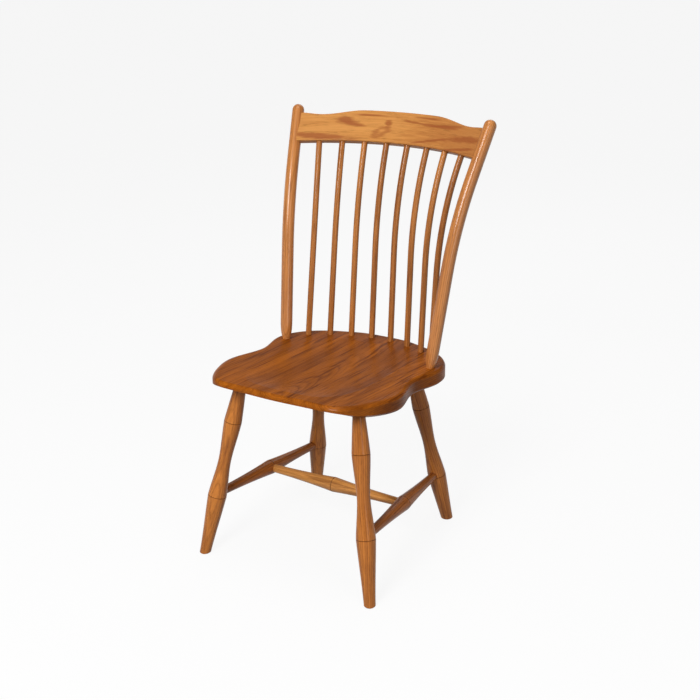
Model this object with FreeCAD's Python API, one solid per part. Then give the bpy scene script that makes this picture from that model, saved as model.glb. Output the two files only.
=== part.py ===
import FreeCAD, Part
import math
import os

# A spindle-back dining chair in solid oak: a shaped seat glued up from boards, four turned legs tied by
# three turned stretchers, two bent posts, eight bent spindles and a curved crest rail between the posts.
# Millimetres. X is to the right seen from the front, Y to the back, Z up. The chair is laid out with Y = 0
# midway between the feet, and is moved at the end so that its origin is the bottom centre of its box.

# Fits
GLUE_GAP = 0.1              # radial room round each round tenon
TENON_END_GAP = 1.0         # room past the end of each tenon
STRETCHER_GAP = 0.25        # radial room round a stretcher's end, whose sides still taper inside its socket
BORE_RUN_OUT = 30.0         # how far a bore's tool stands clear of the surface that it enters

# Seat, in its own plane: its top is flat and falls towards the back
SEAT_HEIGHT = 450.5         # top of the seat above the floor at its front edge
SEAT_FALL = 3.55            # degrees, downwards to the back
SEAT_THICKNESS = 35.0
SEAT_FRONT = 214.0          # from the layout line to the front edge
SEAT_BACK = 264.0           # from the layout line to the back edge
SEAT_FRONT_WIDTH = 165.0    # half width of the gently bowed front edge
SEAT_FRONT_BOW = 14.5       # how far it draws back at its ends
SEAT_CORNER_WIDTH = 191.0   # half widths: front corner, front lobe, waist, rear lobe, shoulder
SEAT_LOBE_WIDTH = 228.0
SEAT_WAIST_WIDTH = 207.0
SEAT_EAR_WIDTH = 223.0
SEAT_SHOULDER_WIDTH = 178.0
SEAT_CORNER_PLACE = -172.0  # where each of these widths lies along Y
SEAT_LOBE_PLACE = -68.0
SEAT_WAIST_PLACE = 33.0
SEAT_EAR_PLACE = 112.0
SEAT_SHOULDER_PLACE = 208.0
SEAT_LOBE_ROUND = 11.0      # how far the outline has drawn in midway from lobe to corner
SEAT_BACK_ROUND = 12.0      # and midway from the middle of the back to the shoulder
SEAT_BOARDS = 5
SEAT_BOARD_WIDTH = 100.0    # the inner boards; the outer two take what is left

# Seat edge, at the front, at the sides and at the back
EDGE_ROLL_DEPTH = 8.0       # how far the rounded top edge falls
EDGE_ROLL_WIDTH = (11.0, 23.0, 9.0)
EDGE_FACE_DEPTH = (12.5, 30.0, 31.0)
UNDERCUT_WIDTH = (64.0, 2.0, 4.0)

# Saddle: the shallow hollow in the seat
SADDLE_DEPTH = 6.5
SADDLE_HALF_WIDTH = 147.0
SADDLE_FRONT = 182.0
SADDLE_BACK = 196.0
SADDLE_SQUARENESS = 3.4     # power of the superellipse that the hollow's rim follows

# Legs, turned; heights along a leg are measured down from the underside of the seat
LEG_FRONT_TOP = (155.6, -118.4)
LEG_FRONT_FOOT = (226.0, -208.7)
LEG_BACK_TOP = (128.8, 158.0)
LEG_BACK_FOOT = (190.7, 208.7)
LEG_TENON_LENGTH = 25.0
LEG_TOP_DIAMETER = 25.5
LEG_SWELL_DIAMETER = 34.0
LEG_RING_DIAMETER = 40.6
LEG_NECK_DIAMETER = 29.2
LEG_BELLY_DIAMETER = 43.4
LEG_CALF_DIAMETER = 31.4
LEG_FOOT_DIAMETER = 25.0
LEG_SWELL_DROP = 48.0
LEG_RING_DROP = 93.0
LEG_NECK_DROP = 192.0
LEG_BELLY_DROP = 278.0
LEG_CALF_DROP = 370.0
LEG_HOLLOW = 0.4            # how much the flank below the ring is hollowed
LEG_FLANK_SHIFT = 3.0       # how far the middle of each flank beside the belly is drawn towards the foot
LEG_RUN_ON = 24.5           # how much longer a leg is turned than its seat is high underneath, then cut level
FOOT_CHAMFER = 1.6
SCORE_WIDTH = 2.0           # the turned score lines round legs and stretchers
SCORE_DEPTH = 0.9

# Stretchers, turned
STRETCHER_END_DIAMETER = 19.6
STRETCHER_MIDDLE_DIAMETER = 35.4
STRETCHER_FLANK_DIAMETER = 24.2
STRETCHER_FLANK_PLACE = 0.52     # share of the way from an end to the middle
STRETCHER_TENON_LENGTH = 17.0    # how deep a side stretcher enters a leg's belly
SIDE_STRETCHER_RISE = 4.0       # above the lower ring of the front legs
SIDE_STRETCHER_BACK_RISE = 3.0  # and of the back legs
CROSS_TENON_LENGTH = 12.0        # how deep the cross stretcher enters a side stretcher

# Bent sticks: posts and spindles lean back more above a bend
BEND_HEIGHT = 745.0         # where the two straight runs of each stick would meet
BEND_RADIUS = 860.0
BEND_LEAN = 0.283           # added slope above the bend

# Posts
POST_DIAMETER = 28.6
POST_TENON_DIAMETER = 18.0
POST_TENON_LENGTH = 24.0
POST_TAPER_LENGTH = 42.0
POST_BASE = (197.7, 118.9)
POST_TOP = (255.8, 301.7)
POST_RISE = 81.3            # how far the posts reach above the crest rail's lower edge
POST_OUTWARD_BEND = 0.271   # sideways share of the bend

# Spindles, evenly spaced on one arc in the seat and on another in the crest rail
SPINDLE_COUNT = 8
SPINDLE_DIAMETER = 14.3
SPINDLE_SEAT_DEPTH = 20.0
SPINDLE_TENON_DIAMETER = 11.0
SPINDLE_TENON_LENGTH = 20.0
SPINDLE_HOUSING = 2.0       # how far the full diameter enters the rail
SPINDLE_BASE_BACK = 234.9   # the arc in the seat: its furthest point back, its radius and its angular pitch
SPINDLE_BASE_RADIUS = 265.4
SPINDLE_BASE_PITCH = 11.36
SPINDLE_TOP_PITCH = 7.09

# Crest rail: a board bent to part of a cone that opens upwards
RAIL_HEIGHT = 875.0         # middle of its lower edge above the floor
RAIL_BACK = 325.6           # middle of its lower edge behind the layout line, at the centre
RAIL_RADIUS = 451.0
RAIL_LEAN = 31.2            # degrees
RAIL_THICKNESS = 22.2
RAIL_EDGE_RADIUS = 3.0
RAIL_CROWN = 76.8           # face height in the middle, at the dip of each shoulder and at the posts
RAIL_DIP = 65.7
RAIL_END = 71.5
RAIL_CROWN_HALF_LENGTH = 89.0
RAIL_DIP_PLACE = 187.4
RAIL_STATIONS = 25
RAIL_TENON_THICKNESS = 9.0
RAIL_TENON_HEIGHT = 36.0
RAIL_TENON_LENGTH = 10.0    # past the post's near side
RAIL_TENON_ROOT = 8.0       # how far it runs back into the rail
RAIL_POST_LEVEL = 0.4       # share of the crown at which the rail's end is measured to the post

Vector = FreeCAD.Vector
UP = Vector(0, 0, 1)
SIDES = {"left": -1, "right": 1}


def seat_top_height(y):
    """Height of the seat's flat top above the floor, at a distance behind the layout line."""
    return SEAT_HEIGHT - (y + SEAT_FRONT) * math.tan(math.radians(SEAT_FALL))


def seat_under_height(y):
    return seat_top_height(y) - SEAT_THICKNESS / math.cos(math.radians(SEAT_FALL))


def spline(points, first=None, last=None):
    """A smooth curve through points, with a direction at each end where one is given."""
    curve = Part.BSplineCurve()
    if first is None:
        curve.interpolate(Points=points)
    else:
        curve.interpolate(Points=points, InitialTangent=first, FinalTangent=last)
    return curve


def place_on_axis(shape, start, direction):
    """Move a shape that stands on the origin along Z to a start point and direction."""
    moved = shape.copy()
    moved.Placement = FreeCAD.Placement(start, FreeCAD.Rotation(UP, direction)).multiply(shape.Placement)
    return moved


def rod(start, direction, radius, length):
    return Part.makeCylinder(radius, length, start, direction)


def mid(a, b):
    return (a + b) / 2


def largest(shape):
    """The biggest solid of a shape, once offcuts are dropped."""
    return max(shape.Solids, key=lambda solid: solid.Volume)


# Seat


def seat_outline_points():
    """Right half of the outline from front to back; each point has its share of front, side and back edge."""
    front, back = -SEAT_FRONT, SEAT_BACK
    return [
        (Vector(0, front, 0), (1, 0, 0)),
        (Vector(SEAT_FRONT_WIDTH / 2, front + SEAT_FRONT_BOW / 5, 0), (1, 0, 0)),
        (Vector(SEAT_FRONT_WIDTH, front + SEAT_FRONT_BOW, 0), (0.9, 0.1, 0)),
        (Vector(SEAT_CORNER_WIDTH, SEAT_CORNER_PLACE, 0), (0.5, 0.5, 0)),
        (Vector(SEAT_LOBE_WIDTH - SEAT_LOBE_ROUND, mid(SEAT_CORNER_PLACE, SEAT_LOBE_PLACE), 0),
         (0.1, 0.9, 0)),
        (Vector(SEAT_LOBE_WIDTH, SEAT_LOBE_PLACE, 0), (0, 1, 0)),
        (Vector(SEAT_WAIST_WIDTH, SEAT_WAIST_PLACE, 0), (0, 0.5, 0.5)),
        (Vector(SEAT_EAR_WIDTH, SEAT_EAR_PLACE, 0), (0, 0, 1)),
        (Vector(SEAT_SHOULDER_WIDTH, SEAT_SHOULDER_PLACE, 0), (0, 0, 1)),
        (Vector(SEAT_SHOULDER_WIDTH / 2, back - SEAT_BACK_ROUND, 0), (0, 0, 1)),
        (Vector(0, back, 0), (0, 0, 1)),
    ]


def mix(shares, values):
    return sum(share * value for share, value in zip(shares, values))


def seat_wire(inset, depth):
    """The seat's outline drawn in and lowered; inset and depth are given at the front, sides and back."""
    points = seat_outline_points()
    out, home = Vector(1, 0, 0), Vector(-1, 0, 0)
    curve = spline([point for point, _ in points], out, home)
    drawn = []
    for point, shares in points:
        tangent = curve.tangent(curve.parameter(point))[0]
        inward = Vector(-tangent.y, tangent.x, 0)
        place = point + inward * mix(shares, inset)
        drawn.append(Vector(place.x, place.y, -mix(shares, depth)))
    right = spline(drawn, out, home).toShape()
    return Part.Wire([right, right.mirror(Vector(0, 0, 0), out)])


def same(value):
    return (value, value, value)


def saddle_cutter():
    """A solid over a shallow bowl with steeper shoulders; it meets the flat top at the bowl's rim."""
    middle = (SADDLE_BACK - SADDLE_FRONT) / 2
    half_depth = (SADDLE_BACK + SADDLE_FRONT) / 2
    steps = [i / 5 for i in range(-6, 7)]
    rows = []
    for v in steps:
        row = []
        for u in steps:
            rim = abs(u) ** SADDLE_SQUARENESS + abs(v) ** SADDLE_SQUARENESS
            row.append(Vector(u * SADDLE_HALF_WIDTH, middle + v * half_depth, SADDLE_DEPTH * (rim - 1)))
        rows.append(row)
    surface = Part.BSplineSurface()
    surface.interpolate(rows)
    return surface.toShape().extrude(UP * SEAT_THICKNESS * 2)


def seat_blank():
    """The shaped seat in its own plane, with its flat top at Z = 0."""
    bottom = seat_wire(UNDERCUT_WIDTH, same(SEAT_THICKNESS))
    face_bottom = seat_wire(same(0), EDGE_FACE_DEPTH)
    rim = seat_wire(same(0), same(EDGE_ROLL_DEPTH))
    roll = seat_wire(tuple(width * 0.3 for width in EDGE_ROLL_WIDTH), same(EDGE_ROLL_DEPTH * 0.3))
    top = seat_wire(EDGE_ROLL_WIDTH, same(0))
    lower = Part.makeLoft([bottom, face_bottom, rim], True, True)
    upper = Part.makeLoft([rim, roll, top], True, False)
    return lower.fuse(upper).cut(saddle_cutter())


def place_seat(shape):
    """Lay a shape from the seat's own plane into the chair."""
    hinge = Vector(0, -SEAT_FRONT, 0)
    moved = shape.copy()
    moved.translate(hinge * -1)
    moved.rotate(Vector(0, 0, 0), Vector(1, 0, 0), -SEAT_FALL)
    moved.translate(hinge + UP * SEAT_HEIGHT)
    return moved


def seat_boards(sockets):
    """The seat cut at its glue lines, once its sockets are bored."""
    seat = place_seat(seat_blank()).cut(sockets)
    length, height = 4 * SEAT_BACK, 2 * SEAT_HEIGHT
    edges = [(i - SEAT_BOARDS / 2) * SEAT_BOARD_WIDTH for i in range(SEAT_BOARDS + 1)]
    edges[0] = -SEAT_LOBE_WIDTH - SEAT_BOARD_WIDTH
    edges[-1] = SEAT_LOBE_WIDTH + SEAT_BOARD_WIDTH
    boards = {}
    for i in range(SEAT_BOARDS):
        slab = Part.makeBox(edges[i + 1] - edges[i], length, height, Vector(edges[i], -length / 2, 0))
        boards[f"seat_board_{i + 1}"] = largest(seat.common(slab))
    return boards


# Turned pieces


def turned(flanks):
    """Revolve a profile made of flanks; a score line is cut where one flank meets the next."""
    axis_start, axis_end = Vector(0, 0, flanks[0][0][1]), Vector(0, 0, flanks[-1][-1][1])
    edges = []
    last_end = axis_start
    for i, flank in enumerate(flanks):
        points = [Vector(radius, 0, along) for radius, along in flank]
        if i > 0:
            points[0] = points[0] + UP * SCORE_WIDTH / 2
            bottom = Vector(flank[0][0] - SCORE_DEPTH, 0, flank[0][1])
            edges.append(Part.makeLine(last_end, bottom))
            last_end = bottom
        if i < len(flanks) - 1:
            points[-1] = points[-1] - UP * SCORE_WIDTH / 2
        edges.append(Part.makeLine(last_end, points[0]))
        edges.append(spline(points).toShape())
        last_end = points[-1]
    edges.append(Part.makeLine(last_end, axis_end))
    edges.append(Part.makeLine(axis_end, axis_start))
    face = Part.Face(Part.Wire(edges))
    return face.revolve(Vector(0, 0, 0), UP, 360)


class Leg:
    """One leg: its line from the underside of the seat to the floor, its solid and its socket."""

    def __init__(self, top, foot, side):
        self.top = Vector(side * top[0], top[1], seat_under_height(top[1]))
        self.foot = Vector(side * foot[0], foot[1], 0)
        self.direction = (self.foot - self.top).normalize()

    def point(self, drop):
        return self.top + self.direction * drop

    def solid(self):
        flanks = [
            [(LEG_TOP_DIAMETER / 2, 0), (LEG_SWELL_DIAMETER / 2, LEG_SWELL_DROP),
             (LEG_RING_DIAMETER / 2, LEG_RING_DROP)],
            [(LEG_RING_DIAMETER / 2, LEG_RING_DROP),
             (mid(LEG_RING_DIAMETER, LEG_NECK_DIAMETER) / 2 - LEG_HOLLOW, mid(LEG_RING_DROP, LEG_NECK_DROP)),
             (LEG_NECK_DIAMETER / 2, LEG_NECK_DROP),
             (mid(LEG_NECK_DIAMETER, LEG_BELLY_DIAMETER) / 2,
              mid(LEG_NECK_DROP, LEG_BELLY_DROP) + LEG_FLANK_SHIFT),
             (LEG_BELLY_DIAMETER / 2, LEG_BELLY_DROP)],
            [(LEG_BELLY_DIAMETER / 2, LEG_BELLY_DROP),
             (mid(LEG_BELLY_DIAMETER, LEG_CALF_DIAMETER) / 2,
              mid(LEG_BELLY_DROP, LEG_CALF_DROP) + LEG_FLANK_SHIFT),
             (LEG_CALF_DIAMETER / 2, LEG_CALF_DROP),
             (LEG_FOOT_DIAMETER / 2, SEAT_HEIGHT - SEAT_THICKNESS + LEG_RUN_ON)],
        ]
        body = place_on_axis(turned(flanks), self.top, self.direction)
        tenon = rod(self.top, self.direction * -1, LEG_TOP_DIAMETER / 2, LEG_TENON_LENGTH)
        under = 4 * LEG_BELLY_DIAMETER
        floor = Part.makeBox(under, under, under, self.foot - Vector(under / 2, under / 2, under))
        leg = body.fuse(tenon).cut(floor)
        sole = [edge for edge in leg.Edges if edge.BoundBox.ZMax < 0.01]
        return leg.makeChamfer(FOOT_CHAMFER, sole)

    def socket(self):
        start = self.top + self.direction * BORE_RUN_OUT
        length = BORE_RUN_OUT + LEG_TENON_LENGTH + TENON_END_GAP
        return rod(start, self.direction * -1, LEG_TOP_DIAMETER / 2 + GLUE_GAP, length)


class Stretcher:
    """A turned stretcher between two points on the axes of the pieces that it enters."""

    def __init__(self, start, end, trim):
        self.start, self.end = start, end
        self.direction = (end - start).normalize()
        self.trim = trim            # how far from those axes each end stops
        self.length = (end - start).Length

    def middle(self):
        return (self.start + self.end) * 0.5

    def solid(self):
        half = self.length / 2
        flank = self.trim + (half - self.trim) * STRETCHER_FLANK_PLACE
        radii = [STRETCHER_END_DIAMETER / 2, STRETCHER_FLANK_DIAMETER / 2, STRETCHER_MIDDLE_DIAMETER / 2]
        first = [(radii[0], self.trim), (radii[1], flank), (radii[2], half)]
        second = [(radii[2], half), (radii[1], self.length - flank), (radii[0], self.length - self.trim)]
        return place_on_axis(turned([first, second]), self.start, self.direction)

    def sockets(self):
        """Both sockets, each bored a little deeper than the stretcher's end."""
        depth = self.trim - TENON_END_GAP
        radius = STRETCHER_END_DIAMETER / 2 + STRETCHER_GAP
        length = LEG_BELLY_DIAMETER + BORE_RUN_OUT
        near = rod(self.start + self.direction * depth, self.direction, radius, length)
        far = rod(self.end - self.direction * depth, self.direction * -1, radius, length)
        return [near, far]


# Bent sticks


class BentStick:
    """A stick with a straight run, a bend and a second straight run, between two given points."""

    def __init__(self, base, top, outward):
        bend = Vector(outward, 1, 0)
        rise = top.z - base.z
        after = top.z - BEND_HEIGHT
        lean = (top - base - bend * (BEND_LEAN * after)) * (1 / rise)
        self.base, self.top = base, top
        self.lower = Vector(lean.x, lean.y, 1).normalize()
        self.upper = (Vector(lean.x, lean.y, 1) + bend * BEND_LEAN).normalize()
        self.knee = base + self.lower * ((BEND_HEIGHT - base.z) / self.lower.z)
        turn = self.lower.getAngle(self.upper)
        reach = BEND_RADIUS * math.tan(turn / 2)
        self.bend_start = self.knee - self.lower * reach
        self.bend_end = self.knee + self.upper * reach
        self.turn = math.degrees(turn)

    def solid(self, radius, below, above):
        """The stick at one radius, run on past its base and its top."""
        start = self.base - self.lower * below
        first = rod(start, self.lower, radius, (self.bend_start - start).Length)
        normal = self.lower.cross(self.upper).normalize()
        centre = self.bend_start + normal.cross(self.lower) * BEND_RADIUS
        section = Part.Face(Part.Wire(Part.makeCircle(radius, self.bend_start, self.lower)))
        bend = section.revolve(centre, normal, self.turn)
        end = self.top + self.upper * above
        second = rod(self.bend_end, self.upper, radius, (end - self.bend_end).Length)
        return first.fuse([bend, second]).removeSplitter()


def post_stick(side):
    base = Vector(side * POST_BASE[0], POST_BASE[1], seat_top_height(POST_BASE[1]))
    top = Vector(side * POST_TOP[0], POST_TOP[1], RAIL_HEIGHT + POST_RISE)
    return BentStick(base, top, side * POST_OUTWARD_BEND)


def post_solid(stick):
    """A post: round tenon, long taper, bent shaft and a domed top."""
    radius = POST_DIAMETER / 2
    shaft = stick.solid(radius, -POST_TAPER_LENGTH, -radius)
    dome = Part.makeSphere(radius, stick.top - stick.upper * radius)
    foot = POST_TENON_DIAMETER / 2
    shoulder = Part.makeLine(Vector(0, 0, -POST_TENON_LENGTH), Vector(foot, 0, -POST_TENON_LENGTH))
    tenon = Part.makeLine(Vector(foot, 0, -POST_TENON_LENGTH), Vector(foot, 0, 0))
    flare = spline([Vector(foot, 0, 0), Vector(radius, 0, POST_TAPER_LENGTH)],
                   Vector(0.35, 0, 1), Vector(0, 0, 1)).toShape()
    lid = Part.makeLine(Vector(radius, 0, POST_TAPER_LENGTH), Vector(0, 0, POST_TAPER_LENGTH))
    axis = Part.makeLine(Vector(0, 0, POST_TAPER_LENGTH), Vector(0, 0, -POST_TENON_LENGTH))
    profile = Part.Face(Part.Wire([shoulder, tenon, flare, lid, axis]))
    taper = place_on_axis(profile.revolve(Vector(0, 0, 0), UP, 360), stick.base, stick.lower)
    return shaft.fuse([dome, taper]).removeSplitter()


def post_socket(stick):
    start = stick.base + stick.lower * BORE_RUN_OUT
    length = BORE_RUN_OUT + POST_TENON_LENGTH + TENON_END_GAP
    return rod(start, stick.lower * -1, POST_TENON_DIAMETER / 2 + GLUE_GAP, length)


def rail_centre():
    """Centre of the rail's arc, at the height of its lower edge."""
    return Vector(0, RAIL_BACK - RAIL_RADIUS, RAIL_HEIGHT)


def spindle_stick(index):
    place = index - (SPINDLE_COUNT - 1) / 2
    low = math.radians(place * SPINDLE_BASE_PITCH)
    high = math.radians(place * SPINDLE_TOP_PITCH)
    base_y = SPINDLE_BASE_BACK - SPINDLE_BASE_RADIUS * (1 - math.cos(low))
    base = Vector(SPINDLE_BASE_RADIUS * math.sin(low), base_y, seat_top_height(base_y))
    outward = Vector(math.sin(high), math.cos(high), 0)
    top = rail_centre() + outward * RAIL_RADIUS
    return BentStick(base, top, math.tan((low + high) / 2))


def spindle_solid(stick):
    shaft = stick.solid(SPINDLE_DIAMETER / 2, SPINDLE_SEAT_DEPTH, SPINDLE_HOUSING - TENON_END_GAP)
    tenon = rod(stick.top, stick.upper, SPINDLE_TENON_DIAMETER / 2, SPINDLE_TENON_LENGTH)
    return shaft.fuse(tenon)


def spindle_sockets(stick):
    """The socket in the seat, and the housing and mortise in the crest rail."""
    radius = SPINDLE_DIAMETER / 2 + GLUE_GAP
    seat = rod(stick.base + stick.lower * BORE_RUN_OUT, stick.lower * -1, radius,
               BORE_RUN_OUT + SPINDLE_SEAT_DEPTH + TENON_END_GAP)
    housing = rod(stick.top - stick.upper * BORE_RUN_OUT, stick.upper, radius, BORE_RUN_OUT + SPINDLE_HOUSING)
    mortise = rod(stick.top, stick.upper, SPINDLE_TENON_DIAMETER / 2 + GLUE_GAP,
                  SPINDLE_TENON_LENGTH + TENON_END_GAP)
    return seat, [housing, mortise]


# Crest rail


def smooth_step(t):
    t = min(max(t, 0), 1)
    return t * t * (3 - 2 * t)


def rail_face_height(along, end):
    """Height of the rail's face at a distance from its middle: a crown, then a shoulder that dips."""
    along = abs(along)
    drop = smooth_step((along - RAIL_CROWN_HALF_LENGTH) / (RAIL_DIP_PLACE - RAIL_CROWN_HALF_LENGTH))
    lift = smooth_step((along - RAIL_DIP_PLACE) / (end - RAIL_DIP_PLACE))
    return RAIL_CROWN + (RAIL_DIP - RAIL_CROWN) * drop + (RAIL_END - RAIL_DIP) * lift


def rail_frame(angle):
    """Middle of the lower edge, the way up the face and the way out through the back, at an angle."""
    lean = math.radians(RAIL_LEAN)
    outward = Vector(math.sin(angle), math.cos(angle), 0)
    origin = rail_centre() + outward * RAIL_RADIUS
    up = outward * math.sin(lean) + UP * math.cos(lean)
    back = outward * math.cos(lean) - UP * math.sin(lean)
    return origin, up, back


def rail_section(angle, height):
    """A rounded rectangle across the rail."""
    origin, up, back = rail_frame(angle)
    half, r = RAIL_THICKNESS / 2, RAIL_EDGE_RADIUS
    corner = r * (1 - math.sqrt(0.5))

    def at(thick, high):
        return origin + back * thick + up * high

    corners = [
        (at(-half, r), at(-half + corner, corner), at(-half + r, 0)),
        (at(half - r, 0), at(half - corner, corner), at(half, r)),
        (at(half, height - r), at(half - corner, height - corner), at(half - r, height)),
        (at(-half + r, height), at(-half + corner, height - corner), at(-half, height - r)),
    ]
    edges = []
    for i, (a, b, c) in enumerate(corners):
        edges.append(Part.Arc(a, b, c).toShape())
        edges.append(Part.makeLine(c, corners[(i + 1) % 4][0]))
    return Part.Wire(edges)


def rail_end_angle(stick):
    """Angle at which the rail's middle reaches the axis of a post."""
    level = RAIL_HEIGHT + RAIL_CROWN * RAIL_POST_LEVEL
    hit = stick.knee + stick.upper * ((level - stick.knee.z) / stick.upper.z)
    away = hit - rail_centre()
    return math.atan2(abs(away.x), away.y)


def rail_tenon(stick, side, gap):
    """The tenon at one end of the rail, drawn in the rail's own directions; gap enlarges it to a mortise."""
    angle = rail_end_angle(stick)
    origin, up, back = rail_frame(side * angle)
    inward = up.cross(back) * side
    reach = POST_DIAMETER / 2 - RAIL_TENON_LENGTH
    length = RAIL_TENON_LENGTH + RAIL_TENON_ROOT + gap
    height = RAIL_TENON_HEIGHT + 2 * gap
    thick = RAIL_TENON_THICKNESS + 2 * gap
    box = Part.makeBox(length, thick, height, Vector(0, -thick / 2, -height / 2))
    middle = origin + up * (rail_face_height(RAIL_RADIUS * angle, RAIL_RADIUS * angle) / 2)
    start = middle + inward * (reach - gap)
    across = up.cross(inward)
    frame = FreeCAD.Matrix(inward.x, across.x, up.x, start.x, inward.y, across.y, up.y, start.y,
                           inward.z, across.z, up.z, start.z, 0, 0, 0, 1)
    box.Placement = FreeCAD.Placement(frame)
    return box


def crest_rail(posts, mortises):
    """The rail, coped round both posts, with its tenons on and its spindle mortises bored."""
    end = rail_end_angle(posts["right"])
    sections = []
    for i in range(RAIL_STATIONS):
        angle = end * (2 * i / (RAIL_STATIONS - 1) - 1)
        sections.append(rail_section(angle, rail_face_height(RAIL_RADIUS * angle, RAIL_RADIUS * end)))
    rail = Part.makeLoft(sections, True, False)
    for side, stick in posts.items():
        cope = rod(stick.bend_end, stick.upper, POST_DIAMETER / 2 + GLUE_GAP, RAIL_RADIUS)
        rail = largest(rail.cut(cope))
    rail = rail.fuse([rail_tenon(stick, SIDES[side], 0) for side, stick in posts.items()])
    return largest(rail.cut(mortises))


# The whole chair


def build_chair():
    legs = {}
    for side, sign in SIDES.items():
        legs[f"leg_front_{side}"] = Leg(LEG_FRONT_TOP, LEG_FRONT_FOOT, sign)
        legs[f"leg_back_{side}"] = Leg(LEG_BACK_TOP, LEG_BACK_FOOT, sign)
    stretchers = {}
    trim = LEG_BELLY_DIAMETER / 2 - STRETCHER_TENON_LENGTH
    for side in SIDES:
        front = legs[f"leg_front_{side}"].point(LEG_BELLY_DROP - SIDE_STRETCHER_RISE)
        back = legs[f"leg_back_{side}"].point(LEG_BELLY_DROP - SIDE_STRETCHER_BACK_RISE)
        stretchers[f"stretcher_{side}"] = Stretcher(front, back, trim)
    cross = Stretcher(stretchers["stretcher_left"].middle(), stretchers["stretcher_right"].middle(),
                      STRETCHER_MIDDLE_DIAMETER / 2 - CROSS_TENON_LENGTH)
    posts = {side: post_stick(sign) for side, sign in SIDES.items()}
    spindles = [spindle_stick(i) for i in range(SPINDLE_COUNT)]

    parts = {}
    seat_sockets = [leg.socket() for leg in legs.values()] + [post_socket(s) for s in posts.values()]
    rail_mortises = []
    for i, stick in enumerate(spindles):
        in_seat, in_rail = spindle_sockets(stick)
        seat_sockets.append(in_seat)
        rail_mortises += in_rail
        parts[f"spindle_{i + 1}"] = spindle_solid(stick)
    parts.update(seat_boards(seat_sockets))
    for name, leg in legs.items():
        side = name.split("_")[-1]
        end = 0 if "front" in name else 1
        parts[name] = leg.solid().cut(stretchers[f"stretcher_{side}"].sockets()[end])
    cross_sockets = dict(zip(SIDES, cross.sockets()))
    for name, stretcher in stretchers.items():
        parts[name] = stretcher.solid().cut(cross_sockets[name.split("_")[-1]])
    parts["stretcher_cross"] = cross.solid()
    for side, stick in posts.items():
        parts[f"post_{side}"] = post_solid(stick).cut(rail_tenon(stick, SIDES[side], GLUE_GAP))
    parts["crest_rail"] = crest_rail(posts, rail_mortises)
    return parts


def centre_over_floor(parts):
    """Move the whole chair so that the origin is the bottom centre of its box."""
    box = Part.makeCompound(list(parts.values())).optimalBoundingBox()
    for shape in parts.values():
        shape.translate(Vector(0, -box.Center.y, 0))
    return box


parts = build_chair()
box = centre_over_floor(parts)
os.makedirs("parts", exist_ok=True)
for name, shape in parts.items():
    solid = largest(shape)
    solid.exportStep(f"parts/{name}.step")
    print(name, "solids", len(shape.Solids), "valid", solid.isValid(), "volume", round(solid.Volume))
print("size", [round(length, 1) for length in (box.XLength, box.YLength, box.ZLength)])
print("moved along Y by", round(-box.Center.y, 2))
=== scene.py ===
import math

import bmesh
import bpy
from bpy.props import FloatProperty, FloatVectorProperty, PointerProperty
from bpy.types import Operator, Panel, PropertyGroup
from mathutils import Matrix, Vector


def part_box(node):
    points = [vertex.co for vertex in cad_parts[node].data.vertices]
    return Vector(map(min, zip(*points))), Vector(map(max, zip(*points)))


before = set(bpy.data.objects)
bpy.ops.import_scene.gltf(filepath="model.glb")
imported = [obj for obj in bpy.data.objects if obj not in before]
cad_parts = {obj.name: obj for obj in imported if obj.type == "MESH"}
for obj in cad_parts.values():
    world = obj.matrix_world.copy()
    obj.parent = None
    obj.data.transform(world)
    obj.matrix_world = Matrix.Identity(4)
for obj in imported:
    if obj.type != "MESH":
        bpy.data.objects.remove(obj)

bl_info = {
    "name": "Spindle-Back Chair",
    "version": (1, 0, 0),
    "blender": (4, 5, 0),
    "location": "3D View > Sidebar > Chair",
    "description": "Finishes a spindle-back oak chair and sets it in a plain studio",
}

UP = Vector((0, 0, 1))


# Sizes and colours that a user may change


def wood_colour(name, description, default):
    return FloatVectorProperty(name=name, description=description, subtype="COLOR", size=3, min=0, max=1,
                               default=default)


def light_wood(default):
    return wood_colour("Light Wood", "Colour of the dense wood between the growth rings", default)


def dark_wood(default):
    return wood_colour("Dark Wood", "Colour of the open wood where the stain has gathered", default)


def streak_colour(default):
    return wood_colour("Streak", "Colour of the broad reddish bands", default)


def share(name, description, default):
    """A setting from 0 to 1."""
    return FloatProperty(name=name, description=description, min=0, max=1, default=default)


def streak_share(default):
    return share("Streaks", "How strongly the broad bands show", default)


def ring_share(default):
    return share("Rings", "How strongly the growth rings show", default)


def lacquer_share(default):
    return share("Lacquer", "How strongly the lacquer shines", default)


def length(name, description, default):
    return FloatProperty(name=name, description=description, unit="LENGTH", default=default)


def ring_spacing(default):
    return length("Ring Width", "Distance from one growth ring to the next", default)


def angle(name, description, degrees):
    return FloatProperty(name=name, description=description, subtype="ANGLE", default=math.radians(degrees))


def power(name, description, default):
    return FloatProperty(name=name, description=description, unit="POWER", default=default)


class OakFinish:
    """Colours and figure of stained and lacquered oak, for every piece whose finish has none of its own."""

    light: light_wood((0.52, 0.21, 0.055))
    dark: dark_wood((0.27, 0.085, 0.018))
    streak: streak_colour((0.20, 0.054, 0.010))
    streaks: streak_share(0.5)
    rings: ring_share(0.8)
    ring_width: ring_spacing(0.0045)
    roughness: share("Roughness", "Roughness of the lacquered wood", 0.38)
    lacquer: lacquer_share(0.40)


class SeatFinishAndPaintedShade(OakFinish, PropertyGroup):
    """Colours and figure of the seat boards; their wood is darker and redder than the other pieces',
    partly the boards' own deeper colour and partly painted shade for the lightly lit seat top.
    """

    light: light_wood((0.48, 0.132, 0.009))
    dark: dark_wood((0.19, 0.044, 0.002))
    streak: streak_colour((0.11, 0.021, 0.001))
    streaks: streak_share(0.75)
    ring_width: ring_spacing(0.0038)
    lacquer: lacquer_share(0.14)


class LegFinish(OakFinish, PropertyGroup):
    """Colours and figure of the legs."""

    light: light_wood((0.78, 0.270, 0.048))
    dark: dark_wood((0.38, 0.115, 0.020))
    streak: streak_colour((0.22, 0.055, 0.009))


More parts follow.
